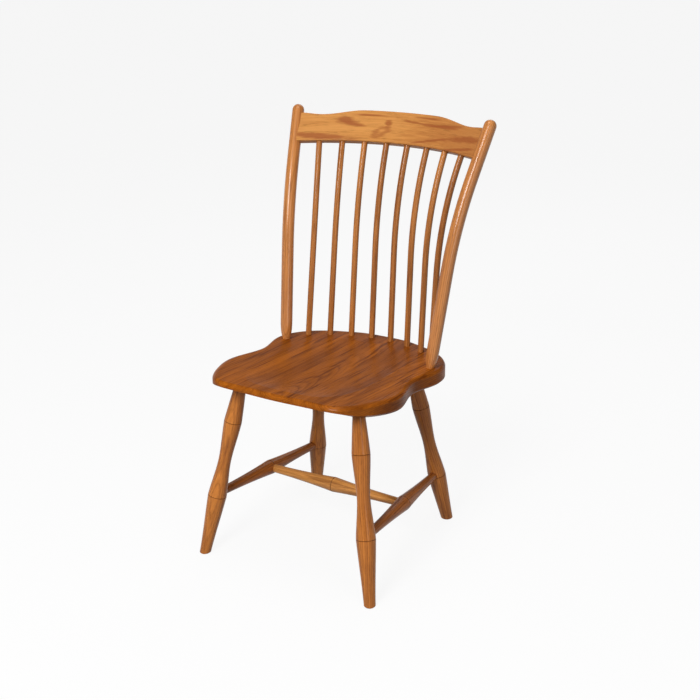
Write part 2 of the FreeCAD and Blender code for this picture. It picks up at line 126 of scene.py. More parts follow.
class SideStretcherFinish(OakFinish, PropertyGroup):
    """Colours and figure of the two side stretchers."""

    light: light_wood((0.58, 0.175, 0.030))


class CrossStretcherFinishAndPaintedLight(OakFinish, PropertyGroup):
    """Colours and figure of the cross stretcher; its wood is painted lighter than the side stretchers'
    to stand in for the light on its front.
    """

    light: light_wood((0.84, 0.37, 0.095))
    dark: dark_wood((0.50, 0.19, 0.045))


class PostFinishAndPaintedHighlight(OakFinish, PropertyGroup):
    """Colours and figure of the two posts; their wood is painted lighter than the spindles' to stand in for
    highlights.
    """

    light: light_wood((0.80, 0.33, 0.095))
    dark: dark_wood((0.44, 0.155, 0.035))
    streak: streak_colour((0.30, 0.085, 0.018))
    lacquer: lacquer_share(0.75)


class SpindleFinish(OakFinish, PropertyGroup):
    """Colours and figure of the spindles."""

    light: light_wood((0.60, 0.23, 0.055))


class RailFinish(OakFinish, PropertyGroup):
    """Colours and figure of the crest rail."""

    light: light_wood((0.68, 0.31, 0.085))
    dark: dark_wood((0.45, 0.16, 0.030))
    streak: streak_colour((0.42, 0.14, 0.035))
    streaks: streak_share(0.30)
    rings: ring_share(0.45)
    lacquer: lacquer_share(0.10)
    # The figure's colour also paints shade over the rail's right half
    figure: wood_colour("Figure", "Colour of the flames and the knot in the face", (0.34, 0.098, 0.028))


class ChairSizes(PropertyGroup):
    """Sizes of the chair that the grain follows."""

    seat_fall: angle("Seat Fall", "How far the seat leans down towards the back", 3.55)
    seat_front_underside: length("Front Underside", "Underside of the seat at a front leg", 0.4096)
    seat_back_underside: length("Back Underside", "Underside of the seat at a back leg", 0.3924)
    leg_ring_drop: length("Ring Drop", "Upper score line, down a leg from the seat", 0.093)
    leg_belly_drop: length("Belly Drop", "Lower score line, down a leg from the seat", 0.278)
    bend_height: length("Bend Height", "Height of the bend in the posts and spindles", 0.745)
    bend_reach: length("Bend Reach", "Half the height over which they bend", 0.11)
    rail_radius: length("Rail Radius", "Radius of the crest rail's curve", 0.451)
    rail_lean: angle("Rail Lean", "How far the crest rail leans back", 31.2)
    rail_thickness: length("Rail Thickness", "Thickness of the crest rail", 0.0222)


class StudioSettings(PropertyGroup):
    """The camera, the lamps and the floor."""

    turn: angle("Turn", "How far the camera stands round to the chair's +X side", 33.13)
    height_angle: angle("Height Angle", "How far above the horizon the camera stands", 21.60)
    roll: angle("Roll", "Tilt of the camera about its own line of sight", -2.02)
    distance: length("Distance", "From the camera to the point that it looks at", 2.667)
    target: FloatVectorProperty(name="Target", description="Point that the camera looks at", subtype="XYZ",
                                unit="LENGTH", size=3, default=(0.0436, -0.0477, 0.4747))
    lens: FloatProperty(name="Lens", description="Focal length of the camera in millimetres", default=61.32)
    key_power: power("Key Power", "Power of the soft lamp at the front", 72)
    top_power: power("Top Power", "Power of the soft lamp overhead", 16)
    side_power: power("Side Power", "Power of the soft lamp at the right", 13)
    back_power: power("Back Power", "Power of the lamp behind the back", 12)
    surround: FloatProperty(name="Surround", description="Strength of the light from all round", min=0,
                            default=0.21)
    bounce: share("Bounce", "How much of its light the floor throws back up", 0.16)
    floor_size: length("Floor Size", "Width of the floor", 60)


# Node graphs


class Graph:
    """Adds nodes to a node tree and joins them."""

    def __init__(self, tree):
        self.tree = tree

    def add(self, kind, inputs=None, **settings):
        node = self.tree.nodes.new(kind)
        for name, value in settings.items():
            setattr(node, name, value)
        for name, value in (inputs or {}).items():
            self.feed(node.inputs[name], value)
        return node

    def feed(self, socket, value):
        if isinstance(value, bpy.types.NodeSocket):
            self.tree.links.new(value, socket)
        else:
            socket.default_value = value

    def math(self, operation, *values, clamp=False):
        node = self.add("ShaderNodeMath", operation=operation, use_clamp=clamp)
        for socket, value in zip(node.inputs, values):
            self.feed(socket, value)
        return node.outputs[0]

    def vector(self, operation, *values):
        node = self.add("ShaderNodeVectorMath", operation=operation)
        for socket, value in zip(node.inputs, values):
            self.feed(socket, value)
        return node.outputs["Value"] if operation in {"DOT_PRODUCT", "LENGTH"} else node.outputs["Vector"]

    def split(self, vector):
        node = self.add("ShaderNodeSeparateXYZ", {"Vector": vector})
        return node.outputs["X"], node.outputs["Y"], node.outputs["Z"]

    def join(self, x, y, z):
        return self.add("ShaderNodeCombineXYZ", {"X": x, "Y": y, "Z": z}).outputs["Vector"]

    def noise(self, place, seed, detail=2.0, roughness=0.5, dimensions="4D"):
        inputs = {"W": seed, "Scale": 1.0, "Detail": detail, "Roughness": roughness}
        if dimensions == "4D":
            inputs["Vector"] = place
        return self.add("ShaderNodeTexNoise", inputs, noise_dimensions=dimensions).outputs["Fac"]

    def grain(self, place, seed, scale, **noise):
        """Noise whose fineness across, through and along the grain is given, per metre."""
        return self.noise(self.vector("MULTIPLY", place, scale), seed, **noise)

    def wander(self, noise, depth):
        """Noise as a shift to either side, a depth wide in all."""
        return self.math("MULTIPLY", self.math("SUBTRACT", noise, 0.5), depth)

    def ramp(self, factor, stops):
        """A smooth curve of brightness through (place, value) stops."""
        node = self.add("ShaderNodeValToRGB", {"Fac": factor})
        points = node.color_ramp.elements
        while len(points) < len(stops):
            points.new(0.5)
        for point, (place, value) in zip(points, stops):
            point.position = place
            point.color = (value, value, value, 1)
        return node.outputs["Color"]

    def mix(self, factor, first, second, blend="MIX"):
        node = self.add("ShaderNodeMix", data_type="RGBA", blend_type=blend)
        self.feed(node.inputs["Factor"], factor)
        self.feed(node.inputs[6], first)
        self.feed(node.inputs[7], second)
        return node.outputs[2]


def new_group(name, inputs, outputs):
    """An empty node group with the named sockets, and the ends of its graph."""
    tree = bpy.data.node_groups.new(name, "ShaderNodeTree")
    for sockets, in_out in ((inputs, "INPUT"), (outputs, "OUTPUT")):
        for socket, kind in sockets:
            tree.interface.new_socket(socket, in_out=in_out, socket_type="NodeSocket" + kind)
    graph = Graph(tree)
    return graph, graph.add("NodeGroupInput"), graph.add("NodeGroupOutput")


# The oak's figure: fineness across, through and along the grain, and (place, value) stops of its curves

BOW_SCALE, BOW_DEPTH = (5.0, 5.0, 1.6), 0.040            # slow wander of the growth rings
WAVER_SCALE, WAVER_DEPTH = (40.0, 40.0, 9.0), 0.0032     # quick wander of the growth rings
RING_STOPS = [(0.0, 0.55), (0.10, 1.0), (0.42, 0.25), (0.85, 0.0), (1.0, 0.55)]    # open wood in a year
SEASONS_PER_METRE, SEASON_STOPS = 75.0, [(0.36, 0.0), (0.64, 1.0)]                 # runs of darker years
FIBRE_SCALE, FIBRE_STOPS = (420.0, 420.0, 8.0), [(0.34, 0.0), (0.66, 1.0)]
PORE_SCALE, PORE_STOPS = (1500.0, 1500.0, 42.0), [(0.57, 0.0), (0.68, 1.0)]
BAND_SCALE, BAND_STOPS = (26.0, 26.0, 3.2), [(0.46, 0.0), (0.66, 1.0)]             # broad streaks
DASH_SCALE, DASH_STOPS = (120.0, 120.0, 7.0), [(0.52, 0.0), (0.66, 1.0)]           # narrow streaks
BAND_STRENGTH = 0.75
PORES_IN_OPEN_WOOD, PORES_EVERYWHERE = 0.75, 0.25
YEAR_VARIES, YEAR_LEAST = 0.50, 0.20     # how dark a year's open wood is: its random part, and its least
SEASON_DARKENS, FIBRE_DARKENS = 0.40, 0.34
END_GRAIN_HIDES = 0.8                    # how much of the streaks is lost on end grain
PORE_STAIN, PORE_STAIN_SHARE = (0.030, 0.007, 0.001, 1), 0.55
# Darker score lines: partly stain gathered in them, partly painted shade of the grooves
SCORE_STAIN_AND_SHADE, SCORE_STAIN_AND_SHADE_SHARE = (0.060, 0.014, 0.003, 1), 0.55
PORE_ROUGHENS, FIBRE_ROUGHENS = 0.22, 0.05
PORE_SINKS, OPEN_WOOD_SINKS = 0.00010, 0.00003


def oak_group():
    """Solid oak: growth rings round a pith, fibres, pores and streaks, from a place in the board."""
    if "Oak" in bpy.data.node_groups:
        return bpy.data.node_groups["Oak"]
    graph, source, target = new_group(
        "Oak",
        [("Place", "Vector"), ("Pith Across", "Float"), ("Pith Below", "Float"), ("Tilt", "Float"),
         ("Ring Width", "Float"), ("Rings", "Float"), ("Seed", "Float"), ("Light", "Color"),
         ("Dark", "Color"), ("Streak", "Color"), ("Streaks", "Float"), ("Roughness", "Float"),
         ("End Grain", "Float"), ("Score", "Float")],
        [("Color", "Color"), ("Roughness", "Float"), ("Height", "Float")])
    given = source.outputs
    place, seed = given["Place"], given["Seed"]
    across, through, along = graph.split(place)

    bow = graph.wander(graph.grain(place, seed, BOW_SCALE, detail=1.5), BOW_DEPTH)
    waver = graph.wander(graph.grain(place, seed, WAVER_SCALE), WAVER_DEPTH)
    side = graph.math("SUBTRACT", across, given["Pith Across"])
    depth = graph.math("SUBTRACT", through, given["Pith Below"])
    depth = graph.math("MULTIPLY_ADD", along, given["Tilt"], depth)
    radius = graph.vector("LENGTH", graph.join(side, depth, 0.0))
    radius = graph.math("ADD", graph.math("ADD", radius, bow), waver)
    rings = graph.math("DIVIDE", radius, given["Ring Width"])
    open_wood = graph.ramp(graph.math("FRACT", rings), RING_STOPS)
    year = graph.add("ShaderNodeTexWhiteNoise", {"W": graph.math("FLOOR", rings)},
                     noise_dimensions="1D").outputs["Value"]
    season = graph.math("MULTIPLY_ADD", radius, SEASONS_PER_METRE, seed)
    season = graph.ramp(graph.noise(None, season, detail=1.5, dimensions="1D"), SEASON_STOPS)

    fibre = graph.ramp(graph.grain(place, seed, FIBRE_SCALE, detail=2.5, roughness=0.6), FIBRE_STOPS)
    pore = graph.ramp(graph.grain(place, seed, PORE_SCALE, detail=1.0), PORE_STOPS)
    pore = graph.math("MULTIPLY", pore,
                      graph.math("MULTIPLY_ADD", open_wood, PORES_IN_OPEN_WOOD, PORES_EVERYWHERE))

    tone = graph.math("MULTIPLY", open_wood, graph.math("MULTIPLY_ADD", year, YEAR_VARIES, YEAR_LEAST))
    tone = graph.math("MULTIPLY_ADD", season, SEASON_DARKENS, tone)
    tone = graph.math("MULTIPLY", tone, given["Rings"])
    tone = graph.math("MULTIPLY_ADD", fibre, FIBRE_DARKENS, tone, clamp=True)
    colour = graph.mix(tone, given["Light"], given["Dark"])
    band = graph.ramp(graph.grain(place, seed, BAND_SCALE, roughness=0.55), BAND_STOPS)
    dash = graph.ramp(graph.grain(place, seed, DASH_SCALE), DASH_STOPS)
    streak = graph.math("MAXIMUM", graph.math("MULTIPLY", band, BAND_STRENGTH), dash)
    streak = graph.math("MULTIPLY", streak,
                        graph.math("MULTIPLY_ADD", given["End Grain"], -END_GRAIN_HIDES, 1.0))
    colour = graph.mix(graph.math("MULTIPLY", streak, given["Streaks"]), colour, given["Streak"])
    colour = graph.mix(graph.math("MULTIPLY", pore, PORE_STAIN_SHARE), colour, PORE_STAIN)
    # The score lines darkened, partly with stain and partly with painted shade of the grooves
    colour = graph.mix(graph.math("MULTIPLY", given["Score"], SCORE_STAIN_AND_SHADE_SHARE), colour, SCORE_STAIN_AND_SHADE)

    roughness = graph.math("MULTIPLY_ADD", pore, PORE_ROUGHENS, given["Roughness"])
    roughness = graph.math("MULTIPLY_ADD", fibre, FIBRE_ROUGHENS, roughness)
    height = graph.math("MULTIPLY", pore, -PORE_SINKS)
    height = graph.math("MULTIPLY_ADD", open_wood, -OPEN_WOOD_SINKS, height)
    graph.feed(target.inputs["Color"], colour)
    graph.feed(target.inputs["Roughness"], roughness)
    graph.feed(target.inputs["Height"], height)
    return graph.tree


# A patch of figure, and on the rail one of painted shade: its ragged edge, and its curves from the middle to
# the rim

FLAME_SCALE, FLAME_SEED, FLAME_RAGGED = (170.0, 170.0, 28.0), 5.0, 1.3
FLAME_STOPS = [(0.45, 1.0), (1.0, 0.0)]
HOLLOW_STOPS = [(0.10, 1.0), (0.60, 0.0)]


def flame_group():
    """A bowed patch on a face, for figure and for painted shade alike, 1 inside and 0 outside, ragged at its
    edge; Hollow makes a ring.
    """
    if "Flame" in bpy.data.node_groups:
        return bpy.data.node_groups["Flame"]
    names = ["Along", "Up", "Half Length", "Half Height", "Lean", "Bow", "Hollow", "Depth"]
    graph, source, target = new_group(
        "Flame", [("Place", "Vector")] + [(name, "Float") for name in names], [("Fac", "Float")])
    given = source.outputs
    up, _, along = graph.split(given["Place"])
    run = graph.math("SUBTRACT", along, given["Along"])
    line = graph.math("MULTIPLY_ADD", run, given["Lean"], given["Up"])
    line = graph.math("MULTIPLY_ADD", graph.math("MULTIPLY", run, run), given["Bow"], line)
    rise = graph.math("DIVIDE", graph.math("SUBTRACT", up, line), given["Half Height"])
    run = graph.math("DIVIDE", run, given["Half Length"])
    reach = graph.vector("LENGTH", graph.join(run, rise, 0.0))
    ragged = graph.grain(given["Place"], FLAME_SEED, FLAME_SCALE)
    reach = graph.math("MULTIPLY_ADD", graph.math("SUBTRACT", ragged, 0.5), FLAME_RAGGED, reach)
    patch = graph.ramp(reach, FLAME_STOPS)
    middle = graph.math("MULTIPLY", graph.ramp(reach, HOLLOW_STOPS), given["Hollow"])
    patch = graph.math("SUBTRACT", patch, middle, clamp=True)
    graph.feed(target.inputs["Fac"], graph.math("MULTIPLY", patch, given["Depth"]))
    return graph.tree


def straight_place(graph, origin, along, across):
    """Place in a straight piece: across it, through it and along its grain."""
    point = graph.add("ShaderNodeTexCoord").outputs["Object"]
    offset = graph.vector("SUBTRACT", point, tuple(origin))
    through = along.cross(across).normalized()
    across = through.cross(along)
    parts = [graph.vector("DOT_PRODUCT", offset, tuple(axis)) for axis in (across, through, along)]
    return graph.join(*parts)


def bent_place(graph, base, slope, bend, height, reach):
    """Place in a bent stick: off its line, which is base + slope, with bend added above a height."""
    x, y, z = graph.split(graph.add("ShaderNodeTexCoord").outputs["Object"])
    rise = graph.math("SUBTRACT", z, base.z)
    past = graph.math("SMOOTH_MAX", graph.math("SUBTRACT", z, height), 0.0, reach)
    offsets = []
    for value, start, low, high in ((x, base.x, slope.x, bend.x), (y, base.y, slope.y, bend.y)):
        line = graph.math("MULTIPLY_ADD", rise, low, start)
        line = graph.math("MULTIPLY_ADD", past, high, line)
        offsets.append(graph.math("SUBTRACT", value, line))
    return graph.join(offsets[0], offsets[1], rise)


def rail_place(graph, centre, radius, lean):
    """Place in the crest rail: up its face, through it and round its curve."""
    point = graph.add("ShaderNodeTexCoord").outputs["Object"]
    x, y, z = graph.split(graph.vector("SUBTRACT", point, tuple(centre)))
    out = graph.vector("LENGTH", graph.join(x, y, 0.0))
    out = graph.math("SUBTRACT", out, radius)
    turn = graph.math("ARCTAN2", x, y)
    up = graph.math("MULTIPLY_ADD", out, math.sin(lean), graph.math("MULTIPLY", z, math.cos(lean)))
    through = graph.math("MULTIPLY_ADD", out, math.cos(lean), graph.math("MULTIPLY", z, -math.sin(lean)))
    return graph.join(up, through, graph.math("MULTIPLY", turn, radius))


END_GRAIN_STOPS = [(0.35, 0.0), (0.75, 1.0)]
SCORE_HALF_WIDTH, SCORE_STOPS = 0.0010, [(0.35, 1.0), (0.65, 0.0)]

# The lacquer carries the shine and the wood under it hardly any, so the stain keeps its colour
REFRACTION, WOOD_SHINE, LACQUER_ROUGHNESS, GRAIN_RELIEF = 1.5, 0.04, 0.20, 0.8


def end_grain(graph, along):
    """1 on a face that cuts the fibres across, 0 on one that runs with them."""
    normal = graph.add("ShaderNodeTexCoord").outputs["Normal"]
    facing = graph.math("ABSOLUTE", graph.vector("DOT_PRODUCT", normal, tuple(along)))
    return graph.ramp(facing, END_GRAIN_STOPS)


def score_lines(graph, place, scores):
    """1 in the turned lines, at these distances along a piece, which are darkened partly with stain that
    gathers there and partly with painted shade of the grooves.
    """
    along = graph.split(place)[2]
    # stain holds the score lines' mask, for stain and painted shade alike
    stain = 0.0
    for score in scores:
        reach = graph.math("ABSOLUTE", graph.math("SUBTRACT", along, score))
        line = graph.ramp(graph.math("DIVIDE", reach, 2 * SCORE_HALF_WIDTH), SCORE_STOPS)
        stain = graph.math("MAXIMUM", line, stain)
    return stain


def oak_material(name, finish, find_place, pith, tilt, seed, along=None, scores=(), flames=()):
    """One piece of oak; find_place draws the nodes that say where a point lies in its board.

    pith is the middle of the growth rings, across and below the piece's own line, and tilt leans them along
    it; scores are distances along the piece; flames are patches of figure, and on the rail one of painted
    shade.
    """
    material = bpy.data.materials.new(name)
    material.use_nodes = True
    material.node_tree.nodes.clear()
    graph = Graph(material.node_tree)
    oak = graph.add("ShaderNodeGroup", node_tree=oak_group())
    place = find_place(graph)
    values = {"Place": place, "Pith Across": pith[0], "Pith Below": pith[1], "Tilt": tilt,
              "Ring Width": finish.ring_width, "Rings": finish.rings, "Seed": seed,
              "Light": (*finish.light, 1), "Dark": (*finish.dark, 1), "Streak": (*finish.streak, 1),
              "Streaks": finish.streaks, "Roughness": finish.roughness}
    if along:
        values["End Grain"] = end_grain(graph, along)
    if scores:
        values["Score"] = score_lines(graph, place, scores)
    for socket, value in values.items():
        graph.feed(oak.inputs[socket], value)
    colour = oak.outputs["Color"]
    for flame in flames:
        patch = graph.add("ShaderNodeGroup", node_tree=flame_group())
        graph.feed(patch.inputs["Place"], place)
        for socket, value in flame.items():
            graph.feed(patch.inputs[socket], value)
        colour = graph.mix(patch.outputs["Fac"], colour, (*finish.figure, 1))
    bump = graph.add("ShaderNodeBump",
                     {"Height": oak.outputs["Height"], "Strength": GRAIN_RELIEF, "Distance": 1.0})
    shader = graph.add("ShaderNodeBsdfPrincipled",
                       {"Base Color": colour, "Roughness": oak.outputs["Roughness"],
                        "Normal": bump.outputs["Normal"], "IOR": REFRACTION,
                        "Specular IOR Level": WOOD_SHINE, "Coat Weight": finish.lacquer,
                        "Coat Roughness": LACQUER_ROUGHNESS})
    graph.add("ShaderNodeOutputMaterial", {"Surface": shader.outputs["BSDF"]})
    return material


def dress(node, material):
    """Give a piece of the frame its finish."""
    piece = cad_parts[node]
    for slot in piece.material_slots:
        slot.material = material


# Measuring the frame

TURNED_PARTS = (0.2, 0.8)     # shares of a turned piece's reach where its centre is measured
STICK_BASE_PART = 0.35        # share of the way up to the bend where a bent stick's base is measured
STICK_TOP_DROP = 0.03         # how far below its top its bent part is measured


def slice_centre(node, axis, at):
    """Centre of a piece where a level plane across an axis cuts its edges."""
    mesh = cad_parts[node].data
    cuts = []
    for edge in mesh.edges:
        first, second = (mesh.vertices[i].co for i in edge.vertices)
        if (first[axis] - at) * (second[axis] - at) < 0:
            cuts.append(first.lerp(second, (at - first[axis]) / (second[axis] - first[axis])))
    return Vector([(min(cut[i] for cut in cuts) + max(cut[i] for cut in cuts)) / 2 for i in range(3)])


def piece_line(node, axis):
    """Start and direction of a straight turned piece that runs mostly along an axis."""
    low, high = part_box(node)
    reach = high[axis] - low[axis]
    start, end = [slice_centre(node, axis, low[axis] + reach * part) for part in TURNED_PARTS]
    return start, (end - start).normalized()


def stick_line(node, sizes):
    """Base, slope and bend of a bent stick."""
    low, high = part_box(node)
    clear = sizes.bend_height - sizes.bend_reach
    base = slice_centre(node, 2, low.z + (clear - low.z) * STICK_BASE_PART)
    knee = slice_centre(node, 2, clear)
    top = slice_centre(node, 2, high.z - STICK_TOP_DROP)
    slope = (knee - base) / (knee.z - base.z)
    missed = top - (base + slope * (top.z - base.z))
    return base, slope, missed / (top.z - sizes.bend_height)


# Operators

# Seed of a group's first piece, and the step to its next
SEAT_SEEDS, LEG_SEEDS, STRETCHER_SEEDS = (1.3, 3.7), (11.0, 2.3), (23.0, 3.1)
POST_SEEDS, SPINDLE_SEEDS, RAIL_SEED = (31.0, 1.9), (36.0, 1.9), 57.0

# Pith of each piece, across and below the middle of its board, and the tilt of its grain
BOARD_PITHS = [(0.09, -0.16), (-0.12, -0.09), (0.01, -0.05), (0.06, -0.06), (-0.07, -0.10)]
BOARD_TILTS = [0.02, -0.05, 0.08, 0.10, -0.05]
LEG_PITH, LEG_PITH_STEP, LEG_TILT = (0.02, -0.06), 0.01, 0.02
LEG_TURN = 1.9                # how far each leg's grain is turned from the one before it
STRETCHER_PITH, STRETCHER_PITH_STEP, STRETCHER_TILT = (0.03, -0.05), 0.012, 0.015
STICK_PITH, STICK_PITH_REACH, STICK_TILT = -0.05, (0.03, 0.02), 0.01
STICK_TURNS = (2.1, 1.7)      # steps by which the pith goes round from one stick to the next
RAIL_PITH, RAIL_TILT = (0.06, -0.13), 0.02


def pick_seed(seeds, i):
    first, step = seeds
    return step * i + first


class CHAIR_OT_finish_seat(Operator):
    """Give each board of the seat its own grain and lacquer"""

    bl_idname = "chair.finish_seat"
    bl_label = "Finish Seat"

    def execute(self, context):
        finish = context.scene.chair_seat
        fall = context.scene.chair_sizes.seat_fall
        along = Vector((0, math.cos(fall), -math.sin(fall)))
        for i, (pith, tilt) in enumerate(zip(BOARD_PITHS, BOARD_TILTS)):
            node = f"seat_board_{i + 1}"
            low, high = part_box(node)
            origin = Vector(((low.x + high.x) / 2, 0, high.z))
            material = oak_material(node, finish,
                                    lambda graph: straight_place(graph, origin, along, Vector((1, 0, 0))),
                                    pith, tilt, pick_seed(SEAT_SEEDS, i), along=along)
            dress(node, material)
        return {"FINISHED"}


class CHAIR_OT_finish_legs(Operator):
    """Give the turned legs their grain and lacquer"""

    bl_idname = "chair.finish_legs"
    bl_label = "Finish Legs"

    def execute(self, context):
        sizes = context.scene.chair_sizes
        across, below = LEG_PITH
        nodes = ["leg_front_left", "leg_front_right", "leg_back_left", "leg_back_right"]
        for i, node in enumerate(nodes):
            start, along = piece_line(node, 2)
            facing = Vector((math.cos(i * LEG_TURN), math.sin(i * LEG_TURN), 0))
            under = sizes.seat_front_underside if "front" in node else sizes.seat_back_underside
            top = (under - start.z) / along.z
            material = oak_material(node, context.scene.chair_legs,
                                    lambda graph: straight_place(graph, start, along, facing),
                                    (across, below - LEG_PITH_STEP * i), LEG_TILT, pick_seed(LEG_SEEDS, i),
                                    along=along,
                                    scores=(top - sizes.leg_ring_drop, top - sizes.leg_belly_drop))
            dress(node, material)
        return {"FINISHED"}


class CHAIR_OT_finish_stretchers(Operator):
    """Give the turned stretchers their grain and lacquer"""

    bl_idname = "chair.finish_stretchers"
    bl_label = "Finish Stretchers"

    def execute(self, context):
        sides, cross = context.scene.chair_side_stretchers, context.scene.chair_cross_stretcher
        across, below = STRETCHER_PITH
        pieces = [("stretcher_left", 1, sides), ("stretcher_right", 1, sides), ("stretcher_cross", 0, cross)]
        for i, (node, axis, finish) in enumerate(pieces):
            start, along = piece_line(node, axis)
            low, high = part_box(node)
            middle = ((low[axis] + high[axis]) / 2 - start[axis]) / along[axis]
            material = oak_material(node, finish, lambda graph: straight_place(graph, start, along, UP),
                                    (across, below - STRETCHER_PITH_STEP * i), STRETCHER_TILT,
                                    pick_seed(STRETCHER_SEEDS, i), scores=(middle,))
            dress(node, material)
        return {"FINISHED"}


def finish_bent(context, nodes, finish, seeds):
    """Dress bent sticks in a grain that follows their bend."""
    sizes = context.scene.chair_sizes
    (reach_across, reach_below), (turn_across, turn_below) = STICK_PITH_REACH, STICK_TURNS
    for i, node in enumerate(nodes):
        base, slope, bend = stick_line(node, sizes)
        pith = (reach_across * math.cos(i * turn_across),
                STICK_PITH + reach_below * math.sin(i * turn_below))
        material = oak_material(
            node, finish,
            lambda graph: bent_place(graph, base, slope, bend, sizes.bend_height, sizes.bend_reach),
            pith, STICK_TILT, pick_seed(seeds, i))
        dress(node, material)


class CHAIR_OT_finish_posts(Operator):
    """Give the two bent posts a grain that follows their bend"""

    bl_idname = "chair.finish_posts"
    bl_label = "Finish Posts"

    def execute(self, context):
        finish_bent(context, ["post_left", "post_right"], context.scene.chair_posts, POST_SEEDS)
        return {"FINISHED"}


class CHAIR_OT_finish_spindles(Operator):
    """Give the eight bent spindles a grain that follows their bend"""

    bl_idname = "chair.finish_spindles"
    bl_label = "Finish Spindles"

    def execute(self, context):
        nodes = [f"spindle_{i}" for i in range(1, 9)]
        finish_bent(context, nodes, context.scene.chair_spindles, SPINDLE_SEEDS)
        return {"FINISHED"}


def flame(along, up, half_length, half_height, lean=0.0, bow=0.0, hollow=0.0, depth=0.85):
    """Where a patch lies, of figure and in one case of painted shade: along the rail from its middle and up
    its face.
    """
    return {"Along": along, "Up": up, "Half Length": half_length, "Half Height": half_height, "Lean": lean,
            "Bow": bow, "Hollow": hollow, "Depth": depth}


RAIL_FLAMES_AND_PAINTED_SHADE = [
    # painted shade: the whole right half darkened with the figure's colour, where the rail turns away from
    # the light
    flame(0.215, 0.045, 0.240, 0.1100, depth=0.42),                # the darker right half
    flame(-0.182, 0.019, 0.100, 0.0095, lean=-0.06),               # low on the left
    flame(-0.112, 0.050, 0.040, 0.0075, lean=-0.10),               # two above it
    flame(-0.132, 0.061, 0.026, 0.0105),
    flame(-0.080, 0.0735, 0.046, 0.0030),                          # lines under the top edge
    flame(0.066, 0.0765, 0.044, 0.0030),
    flame(-0.044, 0.034, 0.026, 0.0150, lean=0.35, hollow=0.9),    # the knot and the spot over it
    flame(-0.028, 0.055, 0.011, 0.0110),
    flame(0.080, 0.061, 0.100, 0.0042, bow=1.25),                  # the bowed vein
    flame(0.122, 0.062, 0.048, 0.0062, lean=0.05),
    flame(0.100, 0.027, 0.085, 0.0038, lean=0.22),                 # the band that rises to the right
    flame(0.205, 0.044, 0.085, 0.0105, lean=0.13),
    flame(0.190, 0.019, 0.065, 0.0045, lean=0.19),                 # low on the right
]


class CHAIR_OT_finish_rail(Operator):
    """Give the crest rail a grain that follows its curve, with its flames, its knot and painted shade over
    its right half
    """

    bl_idname = "chair.finish_rail"
    bl_label = "Finish Crest Rail"

    def execute(self, context):
        sizes = context.scene.chair_sizes
        low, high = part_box("crest_rail")
        thickness = sizes.rail_thickness / math.cos(sizes.rail_lean)
        reach = (high.z - low.z) * math.tan(sizes.rail_lean) + thickness / 2
        centre = Vector((0, high.y - reach - sizes.rail_radius, low.z))
        material = oak_material("crest_rail", context.scene.chair_rail,
                                lambda graph: rail_place(graph, centre, sizes.rail_radius, sizes.rail_lean),
                                RAIL_PITH, RAIL_TILT, RAIL_SEED, flames=RAIL_FLAMES_AND_PAINTED_SHADE)
        dress("crest_rail", material)
        return {"FINISHED"}


# Place and size of each soft lamp, which is named for its power setting, and the point they all face

LAMPS = {
    "key": ((0.2, -2.7, 2.4), (1.1, 1.1)),
    "top": ((-0.1, -0.3, 2.9), (1.2, 1.2)),
    "side": ((2.4, -1.5, 1.3), (0.9, 1.6)),
    "back": ((-0.6, 2.3, 2.2), (1.6, 1.2)),
}
LAMP_TARGET = (0, 0, 0.5)

WHITE = (1, 1, 1, 1)
FLOOR_PAINT = (0.9, 0.9, 0.9, 1)
FLOOR_GLOW = 0.90                              # share of the floor as seen that glows; the rest takes shadow
BACKDROP_STOPS = [(0.05, 1.0), (0.20, 0.0)]    # how high above the horizon the lacquer shows white
SENSOR_WIDTH = 36                              # of the camera, in millimetres


def add_lamp(name, place, size, power):
    lamp = bpy.data.lights.new(name, "AREA")
    lamp.shape = "RECTANGLE"
    lamp.size, lamp.size_y = size
    lamp.energy = power
    holder = bpy.data.objects.new(name, lamp)
    holder.location = place
    holder.rotation_euler = (Vector(LAMP_TARGET) - Vector(place)).to_track_quat("-Z", "Y").to_euler()
    bpy.context.collection.objects.link(holder)


def floor_material(bounce):
    """Pale floor that shows nearly white, keeps a soft shadow and throws back only part of its light."""
    material = bpy.data.materials.new("floor")
    material.use_nodes = True
    material.node_tree.nodes.clear()
    graph = Graph(material.node_tree)
    rays = graph.add("ShaderNodeLightPath").outputs
    seen = graph.math("MAXIMUM", graph.math("MAXIMUM", rays["Is Camera Ray"], rays["Is Glossy Ray"]),
                      rays["Is Transmission Ray"])
    paint = graph.mix(seen, (bounce, bounce, bounce, 1), FLOOR_PAINT)
    matte = graph.add("ShaderNodeBsdfDiffuse", {"Color": paint})
    glow = graph.add("ShaderNodeEmission", {"Color": WHITE, "Strength": 1.0})
    both = graph.add("ShaderNodeMixShader", {"Fac": graph.math("MULTIPLY", seen, FLOOR_GLOW)})
    graph.feed(both.inputs[1], matte.outputs[0])
    graph.feed(both.inputs[2], glow.outputs[0])
    graph.add("ShaderNodeOutputMaterial", {"Surface": both.outputs[0]})
    return material


def light_surround(scene, strength):
    """Soft light from all round, which the camera sees as white, and the lacquer near the horizon too."""
    world = bpy.data.worlds.new("studio")
    scene.world = world
    world.use_nodes = True
    world.node_tree.nodes.clear()
    graph = Graph(world.node_tree)
    rays = graph.add("ShaderNodeLightPath").outputs
    height = graph.split(graph.add("ShaderNodeTexCoord").outputs["Generated"])[2]
    backdrop = graph.math("MULTIPLY", rays["Is Glossy Ray"], graph.ramp(height, BACKDROP_STOPS))
    seen = graph.math("MAXIMUM", graph.math("MAXIMUM", rays["Is Camera Ray"], rays["Is Transmission Ray"]),
                      backdrop)
    level = graph.math("MULTIPLY_ADD", seen, 1.0 - strength, strength)
    glow = graph.add("ShaderNodeBackground", {"Color": WHITE, "Strength": level})
    graph.add("ShaderNodeOutputWorld", {"Surface": glow.outputs[0]})


